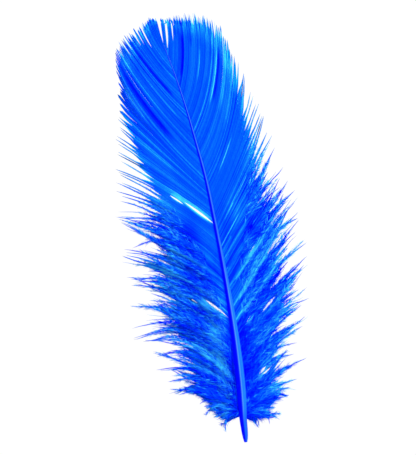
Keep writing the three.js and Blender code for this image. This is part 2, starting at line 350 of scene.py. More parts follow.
def dyedMaterial(name, dyeGroup, look):
    # the tint and the share of the other colour are read from the mesh
    material = bpy.data.materials.new(name)
    material.use_nodes = True
    tree = material.node_tree
    shader = tree.nodes["Principled BSDF"]
    shader.inputs["Specular IOR Level"].default_value = look["specular"]
    shader.inputs["Specular Tint"].default_value = (*look["specularTint"], 1)
    dye = tree.nodes.new("ShaderNodeGroup")
    dye.node_tree = dyeGroup
    for key, value in look["dye"].items():
        dye.inputs[key].default_value = value
    for key in ("Tint", "Other"):
        read = tree.nodes.new("ShaderNodeAttribute")
        read.attribute_name = key.lower()
        tree.links.new(read.outputs["Fac"], dye.inputs[key])
    bump = addNode(tree, "ShaderNodeBump", Height=dye.outputs["Height"], Strength=look["bump"],
                   Distance=look["bumpHeight"])
    tree.links.new(dye.outputs["Color"], shader.inputs["Base Color"])
    tree.links.new(dye.outputs["Roughness"], shader.inputs["Roughness"])
    tree.links.new(bump.outputs["Normal"], shader.inputs["Normal"])
    return material


materialLooks = {
    "barbs": {"specular": 0.0, "specularTint": (0.1, 0.4, 1), "bump": 0.5,
              "bumpHeight": 0.0001,
              "dye": {"Mottle": 0.1, "Mottle Scale": 900.0, "Slant": 1.2, "Along": 2.6, "Across": 3.0,
                      "Lines": 0.3, "Rough": 0.75, "Spread": 0.4, "Other Color": (0, 0.14, 0.5, 1)}},
    # the quill's other colour is the pale colour of its painted highlight and painted sheen
    "quill": {"specular": 0.02, "specularTint": (0.4, 0.6, 1), "bump": 0.3,
              "bumpHeight": 0.0001,
              "dye": {"Mottle": 0.06, "Mottle Scale": 500.0, "Slant": 0.0, "Along": 0.25,
                      "Across": 9.0, "Lines": 0.14, "Rough": 0.4, "Spread": 0.3,
                      "Other Color": (0.25, 0.5, 0.95, 1)}},
}
dyeGroup = buildDyeGroup()
barbMaterial = dyedMaterial("dyedBarbWithPaintedShading", dyeGroup, materialLooks["barbs"])
quillMaterial = dyedMaterial("dyedQuillWithPaintedShading", dyeGroup, materialLooks["quill"])
print("materials made")


# The shaft

def makeShaft():
    # a ring of half-width cos and depth sin at each step, with a groove along the top and
    # another underneath, flat where the quill lies on the surface
    shape, look = shaftShape, shaftLook
    steps, sides = shape["steps"], shape["sides"]
    y = np.linspace(0, 1, steps) ** shape["crowding"] * shaftRows[-1, 0]
    angle = np.linspace(0, 2 * np.pi, sides, endpoint=False)
    x0, z0, half, depth = (v[:, None] for v in shaftAt(y))
    s = np.cos(angle)[None]
    up = np.sin(angle)[None]
    upper = smoothStep(*look["upper"], y[:, None])
    ridgeAt = look["ridgeAt"][0] + (look["ridgeAt"][1] - look["ridgeAt"][0]) * upper
    grooved = smoothStep(*look["grooveFrom"], y[:, None])
    grooved = grooved * (1 - smoothStep(*look["grooveTo"], y[:, None]))
    topGroove = look["groove"] * np.exp(-((s - look["grooveAt"]) / look["grooveWidth"]) ** 2) * (up > 0)
    under = look["underGroove"] * np.exp(-(s / look["underWidth"]) ** 2) * (up < 0)
    hollowed = smoothStep(*look["underFrom"], y[:, None])
    x = x0 + half * s
    z = z0 + depth * (up - topGroove * grooved + under * hollowed)
    floor = np.maximum(z0 - depth * shape["flatLift"], 0)
    z = np.maximum(z, floor)
    points = np.stack([x, np.broadcast_to(y[:, None], x.shape), z], axis=-1)
    i = np.arange(steps - 1)[:, None] * sides
    j = np.arange(sides)[None]
    n = (j + 1) % sides
    quads = np.stack([i + j, i + n, i + sides + n, i + sides + j], axis=-1).reshape(-1, 4)
    ends = np.array([points[0].mean(0), points[-1].mean(0)])
    foot, head = steps * sides, steps * sides + 1
    k = np.arange(sides)
    m = (k + 1) % sides
    footTris = np.stack([np.full(sides, foot), m, k], axis=1)
    top = (steps - 1) * sides
    headTris = np.stack([np.full(sides, head), top + k, top + m], axis=1)
    # painted highlight: a pale line along the ridge, fainter on the thin upper part
    lineWidth = np.clip(look["line"] / half, *look["lineShare"])
    ridge = np.exp(-((s - ridgeAt) / lineWidth) ** 2) * smoothStep(*look["ridgeFrom"], y[:, None])
    # painted shade in the groove along the top
    dip = np.exp(-((s - look["grooveAt"]) / look["dipWidth"]) ** 2) * grooved
    # painted shade: left of the ridge the tint falls to nothing, on the shaft's side away from the
    # light
    flank = smoothStep(ridgeAt - look["edge"], ridgeAt, s)
    light = look["flank"] - look["quill"] * (1 - smoothStep(*look["quillTo"], y[:, None]))
    light = light - look["upperDark"] * upper
    tint = light * flank - look["dip"] * dip - look["right"] * smoothStep(*look["rightFrom"], s)
    tint = np.where(up > 0, tint, look["below"])
    # the painted highlight and a faint painted sheen right of the ridge, as shares of the pale other
    # colour
    pale = look["ridge"] * ridge * (1 - look["upperRidge"] * upper) + look["sheen"] * flank
    pale = np.where(up > 0, pale, 0)
    around = np.broadcast_to(half * s, x.shape)
    values = {"tint": np.concatenate([tint.ravel(), look["ends"]]),
              "other": np.concatenate([pale.ravel(), [0, 0]]),
              "along": np.concatenate([points[..., 1].ravel(), [0, y[-1]]]),
              "across": np.concatenate([around.ravel(), [0, 0]])}
    return (np.concatenate([points.reshape(-1, 3), ends]), quads,
            np.concatenate([footTris, headTris]), values)


# places across the shaft run from -1 on its left edge to 1 on its right
shaftLook = {
    "groove": 0.2, "grooveAt": 0.36, "grooveWidth": 0.14, "grooveFrom": (6, 16), "grooveTo": (50, 64),
    "underGroove": 0.35, "underWidth": 0.35, "underFrom": (14, 30),
    "upper": (40, 68),  # along the shaft, where it becomes the thin upper part
    # a painted highlight along the ridge, as a pale line: line is half its width in millimetres, and
    # lineShare the least and most of it in shares of half the shaft's width; sheen is a faint painted
    # sheen right of it
    "ridge": 0.14, "ridgeAt": (0.14, 0.36), "ridgeFrom": (5, 12), "upperRidge": 0.6,
    "line": 0.14, "lineShare": (0.1, 0.3), "sheen": 0.02,
    # the tint right of the ridge, and how much darker it is in places; left of the ridge the tint falls
    # to nothing over edge, painted shade on the shaft's side away from the light, and dip is painted
    # shade in the top groove
    "flank": 0.68, "edge": 0.24, "quill": 0.16, "quillTo": (6, 12), "upperDark": 0.14,
    "dip": 0.08, "dipWidth": 0.1, "right": 0.2, "rightFrom": (0.75, 1),
    "below": 0.3, "ends": (0.2, 0.3),
}
makePiece("quillShaft", makeShaft(), quillMaterial, "quill_shaft")


# The barbs

# downTop is the root where the down ends; web and reach hold, for some roots, how much of a barb
# is hooked to its neighbours and how long it is, in shares of the curve to the lock's tip; curl
# is how far tufts may curl down, and extra the number of looser barbs
vanes = {
    "left": {"name": "left", "side": -1, "locks": leftLocks, "seed": 11, "node": "left_vane",
             "downTop": 50, "curl": 2.2, "extra": 120,
             "web": [(8, 0.12), (40, 0.2), (52, 0.32), (60, 0.55), (65, 0.68), (70, 0.75),
                     (75, 0.86), (77.5, 1.02), (84, 1.04), (89, 1.0), (94, 0.95), (123, 0.94)],
             "reach": [(8, 1.03), (42.5, 1.03), (44.5, 0.95), (46.5, 1.03), (70, 1.03), (78, 1.02),
                       (84, 1.03), (94, 1.04), (123, 1.05)]},
    "right": {"name": "right", "side": 1, "locks": rightLocks, "seed": 23, "node": "right_vane",
              "downTop": 55, "curl": 1.0, "extra": 120,
              "web": [(8, 0.12), (34, 0.2), (50, 0.35), (60, 0.6), (66, 0.76), (72, 0.78),
                      (77, 0.84), (81, 0.9), (86, 0.96), (92, 0.95), (122, 0.94)],
              "reach": [(8, 1.03), (62, 1.03), (70, 1.05), (84, 1.06), (95, 1.05), (122, 1.04)]},
}
barbLook = {
    "pitch": (0.5, 0.8),      # between barbs along the shaft, and between their tips
    "sparser": ((102, 116), (1, 1.6)),  # near the shaft's end they leave it further apart
    "shift": 0.15,            # how unevenly they leave it, in pitches
    "steps": 36,
    "overlap": 0.62,          # half a web barb's width, for each millimetre to its neighbour
    "webWidth": (0.13, 0.6),  # the least and the most of it
    "ramus": (0.11, 0.065),   # half the width of a loose barb, at its foot and near its tip
    "pointed": (0.3, 0.1),    # what is left of it at the tip, and over how much it narrows
    "uneven": 0.022,          # how unevenly neighbouring barbs come loose from the web
    "softEdge": (0.1, 0.07, (80, 92)),  # how softly the web ends, and how much less past these roots
    "crest": 0.04,            # a web barb's middle is darker by this
    # a barb's top above its path, more in the web, more when free, and its underside below the
    # path, the last two in shares of half its width
    "thick": (0.03, 0.09, 0.5, 0.25),
}
# barbs beside a parting are pushed apart, less and less over falloff, and within near, which
# grows with the parting's width, they are lighter; that ends between the roots in lighterTo
partingLook = {"falloff": 1.6, "near": (0.6, 0.6), "lighter": 0.4, "lighterTo": (60, 75)}
# where a parting leaves the shaft, from which share of the barb to which, half its width
partings = {
    "left": [(66.4, 0.0, 0.34, 0.42), (65.6, 0.34, 0.5, 0.3), (37.2, 0.04, 0.36, 0.8),
             (34.4, 0.34, 0.52, 0.6), (31.8, 0.62, 1.1, 0.9), (42.5, 0.7, 1.1, 0.7),
             (55.3, 0.72, 1.1, 0.8), (100.6, 0.84, 1.2, 0.24), (107.5, 0.76, 1.2, 0.3),
             (104, 0.88, 1.2, 0.16), (109.5, 0.72, 1.2, 0.26), (112.5, 0.6, 1.2, 0.28),
             (96.5, 0.84, 1.2, 0.2)],
    "right": [(47.2, 0.28, 0.54, 0.45), (32.2, 0.12, 0.28, 0.4), (29.3, 0.34, 0.64, 0.6),
              (21.2, 0.08, 0.28, 0.3), (13.9, 0.34, 0.62, 0.35), (119, 0.15, 1.2, 0.45),
              (115.5, 0.5, 1.2, 0.25), (93.4, 0.88, 1.2, 0.35), (104, 0.9, 1.2, 0.2),
              (99, 0.9, 1.2, 0.2), (109, 0.87, 1.2, 0.2)],
}
# where the streak's barbs leave the shaft, half its width there, from which share of the barb
# to which, and how much lighter or darker it is; the darker streaks are painted shadow where one group
# of barbs lies over another, and the lighter ones painted light along that group's edge
streaks = {
    "left": [(83.2, 1.5, 0.2, 1.1, -0.5), (102.6, 0.9, 0.15, 1.2, -0.48),
             (95, 0.5, 0.1, 0.8, 0.34), (90, 2.2, 0.3, 0.95, 0.12), (79, 1.0, 0.45, 0.9, 0.26),
             (98.5, 0.6, 0.5, 1.1, -0.22), (110, 0.8, 0.2, 1.1, -0.2), (73, 2, 0.3, 0.8, 0.14),
             (66.4, 1.2, 0.0, 0.5, 0.25), (87, 0.6, 0.4, 1.1, -0.2), (68.5, 0.8, 0.1, 0.7, -0.12)],
    "right": [(92.6, 0.4, 0.3, 0.86, 0.6), (91.2, 0.8, 0.35, 0.9, -0.46),
              (109.4, 0.9, 0.1, 0.8, -0.4), (101, 0.4, 0.3, 0.75, 0.26),
              (76.4, 0.35, 0.15, 0.55, 0.45), (82, 1.2, 0.4, 0.9, 0.2),
              (86.5, 1.5, 0.4, 0.95, 0.2), (97, 0.8, 0.4, 0.9, 0.12), (105, 0.7, 0.6, 1.1, -0.24),
              (113.5, 0.7, 0.6, 1.1, -0.24), (95.5, 0.5, 0.6, 1.1, -0.2),
              (79, 0.8, 0.2, 0.9, -0.14), (49.2, 0.25, 0.01, 0.16, 0.5),
              (48.3, 0.4, 0.05, 0.18, -0.35)],
}
# painted shade on the barbs beside the shaft, where it shadows them: how wide, how much, and where that
# ends
shadeBesideShaft = {"left": (0.9, 0.42, 24, 46), "right": (2.4, 0.42, 22, 40)}
# soft darker and lighter places: x, y, half width, half height, amount
patches = [
    (-7.5, 64, 2.6, 5, -0.3), (-8.5, 51, 2.6, 6, -0.34), (-7.8, 38, 3, 4.5, -0.22),
    (-5.5, 20, 1.6, 6, -0.22), (-10, 20, 3, 3, -0.1), (5.5, 20, 3, 6, -0.2),
    (10.5, 63, 2, 4, -0.22), (11, 47.5, 3, 3.5, -0.22), (11, 35, 1.8, 3.5, -0.2),
    (4.5, 30, 2.5, 6, -0.18), (9, 24, 1.6, 3, -0.15), (3.6, 66, 2.4, 6, -0.12),
    (-2.6, 22, 1.2, 5, 0.2), (-4, 35, 1.6, 5, 0.14), (7, 70, 3, 5, 0.12),
    (-12, 76, 6, 4, 0.12), (-12, 57, 5, 3, 0.16), (9, 57, 3, 3, 0.14),
    (-10, 30, 5, 3, 0.1), (-14, 45, 4, 2, 0.14), (14, 30, 3, 3, 0.1), (15, 84, 4, 6, 0.16),
    (-3.5, 48, 3, 6, -0.2), (-15, 15, 5, 4, 0.05), (-3.5, 25, 1.3, 4.5, 0.3),
    (-4.3, 33, 1.5, 4, 0.22), (-6.2, 43, 2.2, 1.2, 0.3),
]


tintLook = {"base": 0.57, "perBarb": (0.085, 0.14), "patches": 1.2, "streakEnds": 0.15}


def webShare(vane, root):
    # how much of a barb is hooked to its neighbours, read between the measured places
    places, shares = np.array(vane["web"]).T
    return np.interp(root, places, shares)


def downShare(vane, root, low, high):
    # 1 in the down, falling to 0 from low to high past its top
    return 1 - smoothStep(vane["downTop"] + low, vane["downTop"] + high, root)


def rowOfRoots(locks, rootPitch, tipPitch):
    # counts barbs between neighbouring locks by the wider of the gaps at their roots and their
    # tips, then finds the root of every whole number
    tips = np.hypot(np.diff(locks[:, 1]), np.diff(locks[:, 2]))
    pitch = rootPitch * np.interp(locks[1:, 0], *barbLook["sparser"])
    counts = np.maximum(np.diff(locks[:, 0]) / pitch, tips / tipPitch)
    total = np.concatenate([[0], np.cumsum(counts)])
    return lambda number: np.interp(number, total, locks[:, 0]), total[-1]


def wander(rng, count, u, waves, size):
    # a sum of sines with random phases, for each strand
    total = np.zeros((count, u.shape[-1]))
    for wave in waves:
        phase = rng.uniform(0, 2 * np.pi, (count, 1))
        rate = rng.uniform(*groomLook["waves"], (count, 1))
        total += np.sin(u * wave * 2 * np.pi * rate + phase) / wave
    return total * size


def openingAlong(u, low, high):
    # 1 halfway along a parting and 0 at its ends, as 1 - (distance from the middle)^2
    middle = (low + high) / 2
    return np.clip(1 - ((u - middle) / (high - middle)) ** 2, 0, 1)


def partBarbs(path, root, u, gaps):
    # pushes the barbs above a parting up and those below it down, most halfway along it
    across = frameOf(path)[1]
    upward = across * np.sign(across[..., 1:2])
    for gapRoot, low, high, width in gaps:
        d = root - gapRoot
        push = np.sign(d) * width * np.exp(-np.abs(d) / partingLook["falloff"])
        push = push * openingAlong(u, low, high)
        path = path + upward * push[..., None]
    return path


def openAt(vaneName, root, u):
    # 1 in the middle of a parting, falling to 0 beside it as exp(-distance^2)
    near = np.zeros(np.broadcast(root, u).shape)
    least, more = partingLook["near"]
    for gapRoot, low, high, width in partings[vaneName]:
        beside = np.exp(-((root - gapRoot) / (least + more * width)) ** 2)
        near = np.maximum(near, beside * openingAlong(u, low, high))
    return near


def tintAt(vaneName, root, u, path, perBarb):
    # each barb's own depth of dye, then the streaks along single barbs, with painted shadow where
    # groups overlap and painted light on their edges, the lighter barbs beside partings, painted shade
    # beside the shaft, and the soft patches
    tint = tintLook["base"] + perBarb[:, None] + np.zeros_like(u)
    ends = tintLook["streakEnds"]
    for streakRoot, width, low, high, amount in streaks[vaneName]:
        d = (root - streakRoot) / width
        tint = tint + amount * np.exp(-d**2) * smoothStep(low, low + ends, u) * (
            1 - smoothStep(high - ends, high, u))
    opened = partingLook["lighter"] * openAt(vaneName, root, u)
    tint = tint + opened * (1 - smoothStep(*partingLook["lighterTo"], root))
    # painted shade on the barbs beside the shaft, fading out up the feather
    x0, _, half, _ = shaftAt(path[..., 1])
    wide, amount, low, high = shadeBesideShaft[vaneName]
    beside = (np.abs(path[..., 0] - x0) - half) / wide
    tint = tint - amount * np.exp(-beside**2) * (1 - smoothStep(low, high, path[..., 1]))
    for x, y, halfX, halfY, amount in patches:
        distance = ((path[..., 0] - x) / halfX) ** 2 + ((path[..., 1] - y) / halfY) ** 2
        tint = tint + tintLook["patches"] * amount * np.exp(-distance)
    return tint


tuftLook = {
    "spacing": ((50, 60, 78, 86), (2.0, 1.6, 1.5, 1.6)),  # by the root, in millimetres
    "fade": (-4, 14),         # past the top of the down, tufts become web over this length
    "shift": 0.12,            # how unevenly they lie, in spacings
    "shorter": (0.05, 0.17),  # small tufts are shorter by up to this, and more so in the down
    "lift": 1.9,              # and lie up to this high
    "loose": (0.6, 0.25, (76, 84)),  # how much steadier locks are, how loose all are below the tip
    "aim": (0.8, 2.0),        # how far tips stray across and along the feather
    "curl": (-0.4, 1),
    "flick": 1.5,
    "tint": (0.1, 0.25),      # how unlike they are, and how much of that is left in the web
}


def makeTufts(rng, vane):
    # the locks of the frame, and smaller tufts between them; each has its own reach, height
    # and aim
    locks = vane["locks"][:, 0]
    roots, main = [], []
    tips = np.hypot(np.diff(vane["locks"][:, 1]), np.diff(vane["locks"][:, 2]))
    for low, high, tip in zip(locks[:-1], locks[1:], tips):
        spacing = np.interp(low, *tuftLook["spacing"])
        count = max(1, round(max(high - low, tip) / spacing))
        roots.extend(low + (high - low) * np.arange(count) / count)
        main.extend([1] + [0] * (count - 1))
    roots, main = np.array(roots + [locks[-1]]), np.array(main + [1])
    down = downShare(vane, roots, *tuftLook["fade"])
    count = len(roots)
    shift = rng.uniform(-tuftLook["shift"], tuftLook["shift"], count)
    roots = roots + shift * np.gradient(roots) * (1 - main)
    reach = np.interp(roots, *np.array(vane["reach"]).T)
    least, more = tuftLook["shorter"]
    reach = reach - (1 - main) * rng.uniform(0, least + more * down, count)
    lockLift = lockLifts[(np.cumsum(main) - 1) % len(lockLifts)]
    lift = np.where(main > 0, lockLift, rng.uniform(0, tuftLook["lift"], count))
    steadier, edge, edgeTo = tuftLook["loose"]
    loose = down * (1 - steadier * main) + edge * (1 - smoothStep(*edgeTo, roots))
    aim = rng.normal(0, 1, (count, 2)) * np.array(tuftLook["aim"]) * loose[:, None]
    curl = rng.uniform(*tuftLook["curl"], count) * down * vane["curl"]
    flick = rng.normal(0, tuftLook["flick"], count) * loose
    unlike, web = tuftLook["tint"]
    tint = rng.normal(0, unlike, count) * (web + (1 - web) * down)
    return {"root": roots, "reach": reach, "lift": lift, "aim": aim, "curl": curl, "down": down,
            "flick": flick, "tint": tint}


def followCurve(vane, root, u, lift, aim, curl, flick):
    # the barb's curve, with its lift, its aim, a late curl downwards and a flick to one side
    path = barbPoints(vane["side"], vane["locks"], root, u)
    path[..., 2] += lift * u ** barbCurve["liftPower"]
    path[..., :2] += aim * (u**2)[..., None]
    path[..., 1] -= curl * smoothStep(barbCurve["curlFrom"], 1.0, u) ** 2
    start, length, power = barbCurve["flick"]
    late = flick * np.maximum((u - start) / length, 0) ** power
    chord = unit(path[:, -1] - path[:, 0])[:, None]
    path[..., 0] += chord[..., 1] * late
    path[..., 1] -= chord[..., 0] * late
    return path


groomLook = {
    "level": 0.6,     # web barbs rise by this share of the tufts' own heights
    "ownCurl": 0.5,   # a barb that doesn't follow its tuft has this share of its curl
    "frizzFrom": (0.2, 0.9),
    "sideways": ((1, 2.3, 5), 0.3),  # the waves along a barb, and their size in millimetres
    "upwards": ((1.3, 3), 0.2),
    "waves": (0.7, 1.3),             # each barb has these waves at a rate of its own
    "layers": 0.35,   # how far a barb lies above or below its own curve
    "layersFrom": (0, 0.3),
    "lowest": 0.12,
}


def groom(rng, vane, roots, tufts, pull, pullFrom, pullTo, reach, spread, sink):
    # each barb follows its own curve, then draws towards its tuft's curve as it goes out
    count, steps = len(roots), barbLook["steps"]
    near = np.abs(roots[:, None] - tufts["root"][None]).argmin(1)
    u = np.linspace(0, 1, steps)[None] * (reach * tufts["reach"][near])[:, None]
    rootGrid = np.repeat(roots[:, None], steps, axis=1)
    tuftGrid = np.repeat(tufts["root"][near][:, None], steps, axis=1)
    loose = tufts["down"][near]
    level = groomLook["level"] * np.interp(roots, tufts["root"], tufts["lift"])
    lift = (loose * tufts["lift"][near] + (1 - loose) * level)[:, None]
    curl = tufts["curl"][near][:, None]
    flick = tufts["flick"][near][:, None]
    aim = rng.normal(0, 1, (count, 1, 2)) * spread[:, None, None]
    own = followCurve(vane, rootGrid, u, lift, aim, curl * groomLook["ownCurl"], flick)
    shared = followCurve(vane, tuftGrid, u, lift, tufts["aim"][near][:, None], curl, flick)
    share = pull[:, None] * smoothStep(
        pullFrom[:, None], pullTo[:, None], u / tufts["reach"][near][:, None])
    path = own + (shared - own) * share[..., None]
    frizz = spread[:, None] * smoothStep(*groomLook["frizzFrom"], u)
    across = frameOf(path)[1]
    path = path + across * (wander(rng, count, u, *groomLook["sideways"]) * frizz)[..., None]
    height = rng.uniform(-groomLook["layers"], groomLook["layers"], count)[:, None]
    height = (height * spread[:, None] - sink) * smoothStep(*groomLook["layersFrom"], u)
    path[..., 2] += wander(rng, count, u, *groomLook["upwards"]) * frizz + height
    path[..., 2] = np.maximum(path[..., 2], groomLook["lowest"])
    return path, u, rootGrid, near


def ramusWidths(u):
    # half a bare barb's width, which narrows evenly and then quickly over its last part
    base, tip = barbLook["ramus"]
    left, length = barbLook["pointed"]
    return (base + (tip - base) * u) * (left + (1 - left) * smoothStep(0, length, u[:, -1:] - u))


def webWidths(rng, vane, path, u, rootGrid):
    # half the space to the neighbouring barbs where the web is closed, a thin ramus beyond it
    across = frameOf(path)[1]
    gap = np.zeros(path.shape[:2])
    between = np.abs(np.einsum("nmk,nmk->nm", path[1:] - path[:-1], across[1:]))
    gap[1:-1] = (between[1:] + between[:-1]) / 2
    gap[0], gap[-1] = between[0], between[-1]
    closed = webShare(vane, rootGrid) + rng.normal(0, barbLook["uneven"], (len(path), 1))
    soft, less, lessFrom = barbLook["softEdge"]
    edge = soft - less * smoothStep(*lessFrom, rootGrid)
    hooked = 1 - smoothStep(closed - edge, closed + edge, u)
    ramus = ramusWidths(u)
    web = np.clip(gap * barbLook["overlap"], *barbLook["webWidth"])
    return ramus + (web - ramus) * hooked, hooked


barbules = {
    "perMillimetre": 10, "looseOnes": 8,  # along a barb, and along the looser ones below
    "fade": (0, 18),         # past the top of the down there are fewer
    "web": (0.12, 0.35),     # how many of them, and what length, is left in the web
    "start": (0.1, 0.7),     # they begin this share before the web's end, and here at the latest
    "length": (2.6, 1.6),    # at a barb's foot and near its tip
    "shorterFrom": 0.45,
    "lengths": (0.55, 1.25),
    "atTip": (0.35, 0.1),    # what is left of their length, and over how much of the barb
    "inParting": 0.7,        # how much shorter they are there
    "width": (0.035, 0.1),   # half the narrowest and the widest
    "thin": 2.5,             # the higher, the more of them are thin
    "thick": (0.8, 0.6),     # above and below, in shares of half the width
    "angle": (31, 18),       # from the barb, in degrees, at its foot and near its tip
    "anyAngle": 5,
    "tilt": ((-0.4, 0.5), 0.35),  # out of the barb's plane in radians, and by bundle
    "until": (0.82, 0.98),   # where along a barb they end and its bare tip begins
    "bundle": 0.9,           # barbules of one side lie together over this length of a barb
    "bundleTint": 0.26,
    "bundleAngle": 10,
    "tint": (0.06, 0.05),    # lighter than the barb, and how unevenly
    "outerDown": (0.35, 0.55, 0.92),  # lighter still, from which share of the barb to which
    "outerWeb": (0.6, 0.7, 0.88),
    "ends": (-0.04, 0.1),    # darker at the foot and lighter at the tip
    "lowest": 0.05,
}
felt = {
    "width": 0.85,           # half of a downy barb's width where its barbules lie close
    "widths": (0.6, 1.25),
    "web": 0.08,             # what is left of the width in the web
    "fade": (2, 20),
    "swell": (0.2, 0.62, 0.03),  # widest from here to there, and what its ends have
    "inParting": 0.85,
    "until": (0.74, 0.93),
    "steps": 20,
    "tint": (0.1, 0.08),
    "outerDown": (0.12, 0.4, 0.9),
    "outerWeb": (0.5, 0.7, 0.9),
    "above": (0.05, 0.1), "under": (0.04, 0.05),  # thickness, and more by its half width
    "below": 0.12,           # how far under the barb it lies
    "lowest": 0.08,
}
barbLength = 30  # about how long a barb is, for the lines on the bands and the loose barbs


def shorten(values, share, steps):
    # the same curves up to a share of their length, in another number of steps
    place = np.linspace(0, 1, steps)[None] * share[:, None] * (values.shape[1] - 1)
    i = np.minimum(place.astype(int), values.shape[1] - 2)
    f = place - i
    rows = np.arange(len(values))[:, None]
    if values.ndim == 3:
        f = f[..., None]
    return values[rows, i] * (1 - f) + values[rows, i + 1] * f


def makeFelt(rng, vane, path, u, rootGrid, tint):
    # the close barbules on both sides of a downy barb, as one band that swells from the shaft
    # and narrows to a point
    count = len(path)
    downy = downShare(vane, rootGrid[:, 0], *felt["fade"])
    share = rng.uniform(*felt["until"], count)
    t = np.linspace(0, 1, felt["steps"])[None]
    along = t * share[:, None]
    wideFrom, wideTo, ends = felt["swell"]
    swell = smoothStep(0, wideFrom, t) * (1 - smoothStep(wideTo, 1, t)) + ends
    widths = rng.uniform(*felt["widths"], count) * (felt["web"] + (1 - felt["web"]) * downy)
    half = felt["width"] * widths[:, None] * swell
    opened = shorten(openAt(vane["name"], rootGrid, u), share, felt["steps"])
    half = half * (1 - felt["inParting"] * opened)
    band = shorten(path, share, felt["steps"])
    band[..., 2] = np.maximum(band[..., 2] - felt["below"], felt["lowest"])
    lighter, unlike = felt["tint"]
    shade = shorten(tint, share, felt["steps"]) + lighter + rng.normal(0, unlike, (count, 1))
    amount, low, high = felt["outerDown"]
    shade = shade + amount * smoothStep(low, high, along)
    amount, low, high = felt["outerWeb"]
    shade = shade + amount * (1 - downy)[:, None] * smoothStep(low, high, along)
    above, under = (least + more * half for least, more in (felt["above"], felt["under"]))
    return strandMesh(band, half, above, under, {
        "tint": shade, "other": 0 * shade, "along": along * barbLength})


def makeBarbules(rng, vane, path, u, rootGrid, tint, density):
    # along each loose barb, thin spikes leave it at a small angle, shorter towards its tip
    count, steps = path.shape[:2]
    ahead, across, out = frameOf(path)
    lengths = np.linalg.norm(np.diff(path, axis=1), axis=2).sum(1)
    downy = downShare(vane, rootGrid[:, 0], *barbules["fade"])
    before, latest = barbules["start"]
    start = (webShare(vane, rootGrid[:, 0]) - before) / np.maximum(u[:, -1], 0.05)
    start = np.clip(start, 0, latest)
    webNumber, webLength = barbules["web"]
    number = lengths * (1 - start) * density * (webNumber + (1 - webNumber) * downy)
    number = number.astype(int)
    barb = np.repeat(np.arange(count), number)
    order = np.arange(len(barb)) - np.repeat(np.cumsum(number) - number, number)
    stop = rng.uniform(*barbules["until"], count)
    t = start[barb] + (stop - start)[barb] * (order + rng.uniform(0, 1, len(barb))) / number[barb]
    place = np.clip(t, 0, 0.999) * (steps - 1)
    i = place.astype(int)
    f = (place - i)[:, None]

    def sample(values):
        return values[barb, i] * (1 - f) + values[barb, i + 1] * f

    p, a, s, o = sample(path), unit(sample(ahead)), unit(sample(across)), unit(sample(out))
    side = np.where(rng.uniform(0, 1, len(barb)) < 0.5, -1.0, 1.0)
    bundle = (t * lengths[barb] / barbules["bundle"]).astype(int) * 2 + (side > 0)
    shared = rng.normal(0, 1, (3, count, bundle.max(initial=0) + 1))[:, barb, bundle]
    low, high = barbules["angle"]
    angle = np.radians(low + (high - low) * t + rng.normal(0, barbules["anyAngle"], len(barb))
                       + shared[0] * barbules["bundleAngle"])
    tilts, bundleTilt = barbules["tilt"]
    tilt = rng.uniform(*tilts, len(barb)) + shared[1] * bundleTilt
    away = s * (side * np.cos(tilt))[:, None] + o * np.sin(tilt)[:, None]
    heading = a * np.cos(angle)[:, None] + away * np.sin(angle)[:, None]
    low, high = barbules["length"]
    size = low + (high - low) * smoothStep(barbules["shorterFrom"], 1, t)
    size = size * (webLength + (1 - webLength) * downy[barb])
    left, length = barbules["atTip"]
    atTip = left + (1 - left) * smoothStep(0, length, stop[barb] - t)
    size = size * rng.uniform(*barbules["lengths"], len(barb)) * atTip
    opened = openAt(vane["name"], rootGrid[barb, 0], u[barb, i])
    size = size * (1 - barbules["inParting"] * opened)
    spikes = np.stack([p, p + heading * size[:, None]], axis=1)
    spikes[..., 2] = np.maximum(spikes[..., 2], barbules["lowest"])
    low, high = barbules["width"]
    width = low + (high - low) * rng.uniform(0, 1, len(barb)) ** barbules["thin"]
    half = np.stack([width, np.zeros(len(barb))], axis=1)
    lighter, unlike = barbules["tint"]
    amount, low, high = barbules["outerDown"]
    lighter = lighter + downy[barb] * amount * smoothStep(low, high, u[barb, i])
    amount, low, high = barbules["outerWeb"]
    lighter = lighter + (1 - downy[barb]) * amount * smoothStep(low, high, u[barb, i])
    own = tint[barb, i] + rng.normal(0, unlike, len(barb))
    own = own + shared[2] * barbules["bundleTint"] + lighter
    above, under = barbules["thick"]
    return strandMesh(spikes, half, half * above, half * under, {
        "tint": own[:, None] + np.array(barbules["ends"]), "other": 0 * half,
        "along": 0 * half})


# how barbs draw together into tufts: how much, less so in the down and in the tip, and from
# which share of their length, which in the web is a little before the web's end
pullLook = {
    "leads": 0.55,            # a barb this near a tuft's root, in pitches, leads it
    "shorter": (0.02, 0.15),  # the others are shorter by up to this, and more so in the down
    "most": 0.98, "downLess": 0.45, "least": (0.95, 0.1), "tip": (86, 95), "tipLess": 0.75,
    "downFrom": 0.5, "webFrom": (0.4, 0.85), "before": 0.08, "over": 0.18,
    "spread": (0.03, 0.7),
}
tipLook = {
    # the barb at each tuft's root is thicker, higher and darker
    "leader": {"width": 0.9, "rise": 0.25, "riseFrom": (0.05, 0.4), "dark": (0.2, 0.3),
               "darkFrom": (0.2, 0.7)},
    "down": {"ink": 0.5, "inkFrom": (0.87, 0.98)},
    # single barbs stand out of the web's side edge, between these roots
    "needles": {"from": (56, 66), "to": 92, "width": 2.6, "narrows": 0.5, "inkFrom": (0.62, 0.8),
                "light": 0.45},
    # pale and dark tips in turn along the web's end
    "fringe": {"from": (77, 84), "light": (0.3, 0.4), "lightFrom": (0.72, 0.93), "dark": 0.9,
               "darkFrom": (0.85, 0.95), "width": (0.4, 0.9), "ink": 0.6},
}
